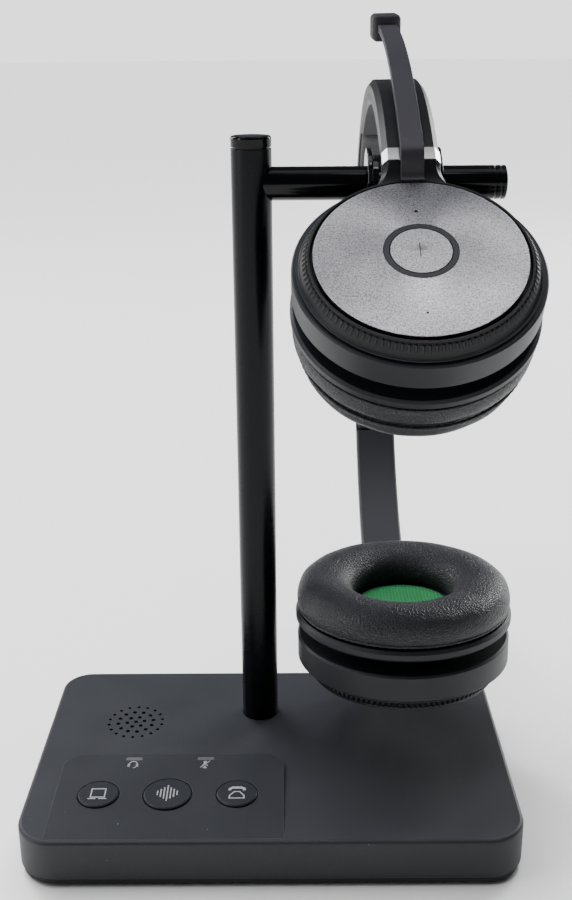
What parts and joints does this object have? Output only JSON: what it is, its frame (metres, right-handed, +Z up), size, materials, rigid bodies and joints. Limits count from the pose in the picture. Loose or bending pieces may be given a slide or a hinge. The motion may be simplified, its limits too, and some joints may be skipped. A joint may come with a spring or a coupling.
{
  "type": "office headset with charging stand",
  "caption": "Wireless dual-ear office headset with a boom microphone, hanging on the arm of a pole stand that rises from a flat desk base with a control panel.",
  "frame": {"origin": "centre of the base unit's footprint on the desk plane", "axes": "+Z up, +X to the user's right along the base's long side, +Y away from the user"},
  "size_m": [0.152, 0.2059, 0.2417],
  "materials": {
    "cover_plastic": "fine moulded grain, charcoal",
    "panel_plastic": "fine moulded grain, charcoal",
    "under_plastic": "plain black",
    "pad_rubber": "matte black with a fine texture",
    "button_plastic": "satin with a light rim",
    "light_window": "translucent grey window",
    "steel": "brushed",
    "board": "green laminate",
    "black_part": "black moulding",
    "port_metal": "stamped shell",
    "pole_paint": "satin black paint",
    "gloss_black": "gloss black",
    "saddle_plastic": "gloss black with a bright cheek",
    "brass": "gold plated",
    "band_plastic": "satin black with lighter bevels",
    "band_liner": "matte black",
    "band_leather": "soft leatherette",
    "silver": "bright satin silver",
    "cup_plastic": "satin dark grey",
    "yoke_plastic": "satin black",
    "grip_plastic": "ribbed dark grip",
    "disc_silver": "spun satin silver",
    "ring_gloss": "dark light ring",
    "cushion_leather": "soft leatherette",
    "ear_fabric": "green mesh cloth",
    "speaker_part": "black with paper cone",
    "boom_plastic": "satin dark grey",
    "battery_wrap": "foil pouch"
  },
  "bodies": {
    "base": {"base_top_cover": "cover_plastic", "control_panel": "panel_plastic", "status_lights": "light_window", "base_bottom_plate": "under_plastic", "anti_slip_pad": "pad_rubber", "base_screws": "steel", "ballast_plate": "steel", "base_circuit_board": "board", "usb_port_computer": "port_metal", "usb_port_phone": "port_metal", "base_speaker": "speaker_part", "dect_antenna": "board", "button_switches": "black_part", "pole_tube": "pole_paint", "pole_cap": "gloss_black", "pole_socket": "steel", "arm_tube": "gloss_black", "arm_stud": "steel", "arm_end_cap": "gloss_black"},
    "computer_key": {"button_computer": "button_plastic"},
    "voice_key": {"button_voice": "button_plastic"},
    "phone_key": {"button_phone": "button_plastic"},
    "cradle": {"hanger_cradle": "saddle_plastic", "charge_contacts": "brass"},
    "headband": {"headband_outer_cover": "band_plastic", "headband_inner_cover": "band_liner", "charge_pads": "brass", "headband_pad": "band_leather", "headband_spring": "steel", "collar_upper": "silver", "collar_lower": "silver"},
    "upper_cup": {"cup_yoke_upper": "yoke_plastic", "slider_strip_upper": "steel", "cup_housing_upper": "cup_plastic", "grip_ring_upper": "grip_plastic", "disc_cover_upper": "disc_silver", "light_ring": "ring_gloss", "cup_circuit_board": "board", "call_switch": "black_part"},
    "call_key": {"call_button": "disc_silver"},
    "boom": {"boom_strap": "boom_plastic", "boom_hub": "black_part", "mic_head": "boom_plastic", "mic_capsule": "steel"},
    "upper_gimbal": {"gimbal_upper": "black_part"},
    "upper_pad": {"ear_plate_upper": "cup_plastic", "driver_upper": "speaker_part", "ear_cushion_upper": "cushion_leather", "ear_fabric_upper": "ear_fabric"},
    "lower_cup": {"cup_yoke_lower": "yoke_plastic", "slider_strip_lower": "steel", "cup_housing_lower": "cup_plastic", "grip_ring_lower": "grip_plastic", "disc_cover_lower": "disc_silver", "battery": "battery_wrap"},
    "lower_gimbal": {"gimbal_lower": "black_part"},
    "lower_pad": {"ear_plate_lower": "cup_plastic", "driver_lower": "speaker_part", "ear_cushion_lower": "cushion_leather", "ear_fabric_lower": "ear_fabric"}
  },
  "joints": [
    {"name": "computer_button_press", "type": "slide", "parent": "base", "child": "computer_key", "axis": [0, 0, -1], "range_m": [0, 0.0006], "stiffness_N_per_m": 300, "springref_m": -0.0004},
    {"name": "voice_button_press", "type": "slide", "parent": "base", "child": "voice_key", "axis": [0, 0, -1], "range_m": [0, 0.0006], "stiffness_N_per_m": 300, "springref_m": -0.0004},
    {"name": "phone_button_press", "type": "slide", "parent": "base", "child": "phone_key", "axis": [0, 0, -1], "range_m": [0, 0.0006], "stiffness_N_per_m": 300, "springref_m": -0.0004},
    {"name": "headset_swing", "type": "hinge", "parent": "base", "child": "cradle", "pos_m": [0.0397, 0.0216, 0.1936], "axis": [1, 0, 0], "range_deg": [-15, 15]},
    {"name": "headset_lift", "type": "slide", "parent": "cradle", "child": "headband", "axis": [0, -0.5204, 0.8539], "range_m": [0, 0.01]},
    {"name": "upper_extension", "type": "hinge", "parent": "headband", "child": "upper_cup", "pos_m": [0.04162, 0.0631, 0.1255], "axis": [0.9999, 0, 0.0131], "range_deg": [0, 15]},
    {"name": "lower_extension", "type": "hinge", "parent": "headband", "child": "lower_cup", "pos_m": [0.04162, 0.0631, 0.1255], "axis": [-0.9999, 0, -0.0131], "range_deg": [0, 15]},
    {"name": "boom_turn", "type": "hinge", "parent": "upper_cup", "child": "boom", "pos_m": [0.04091, -0.02118, 0.18005], "axis": [0.0108, 0.5631, -0.8263], "range_deg": [0, 270]},
    {"name": "call_button_press", "type": "slide", "parent": "upper_cup", "child": "call_key", "axis": [0.0108, 0.5631, -0.8263], "range_m": [0, 0.0005], "stiffness_N_per_m": 300, "springref_m": -0.0004},
    {"name": "upper_pad_tilt", "type": "hinge", "parent": "upper_cup", "child": "upper_gimbal", "pos_m": [0.04107, -0.01273, 0.16766], "axis": [0.9999, 0, 0.0131], "range_deg": [-5, 5]},
    {"name": "upper_pad_turn", "type": "hinge", "parent": "upper_gimbal", "child": "upper_pad", "pos_m": [0.04107, -0.01273, 0.16766], "axis": [-0.0074, 0.8264, 0.563], "range_deg": [-5, 5]},
    {"name": "lower_pad_tilt", "type": "hinge", "parent": "lower_cup", "child": "lower_gimbal", "pos_m": [0.04256, 0.01226, 0.05411], "axis": [0.9999, 0, 0.0131], "range_deg": [-5, 5]},
    {"name": "lower_pad_turn", "type": "hinge", "parent": "lower_gimbal", "child": "lower_pad", "pos_m": [0.04256, 0.01226, 0.05411], "axis": [0.0006, 0.9988, -0.049], "range_deg": [-5, 5]}
  ]
}
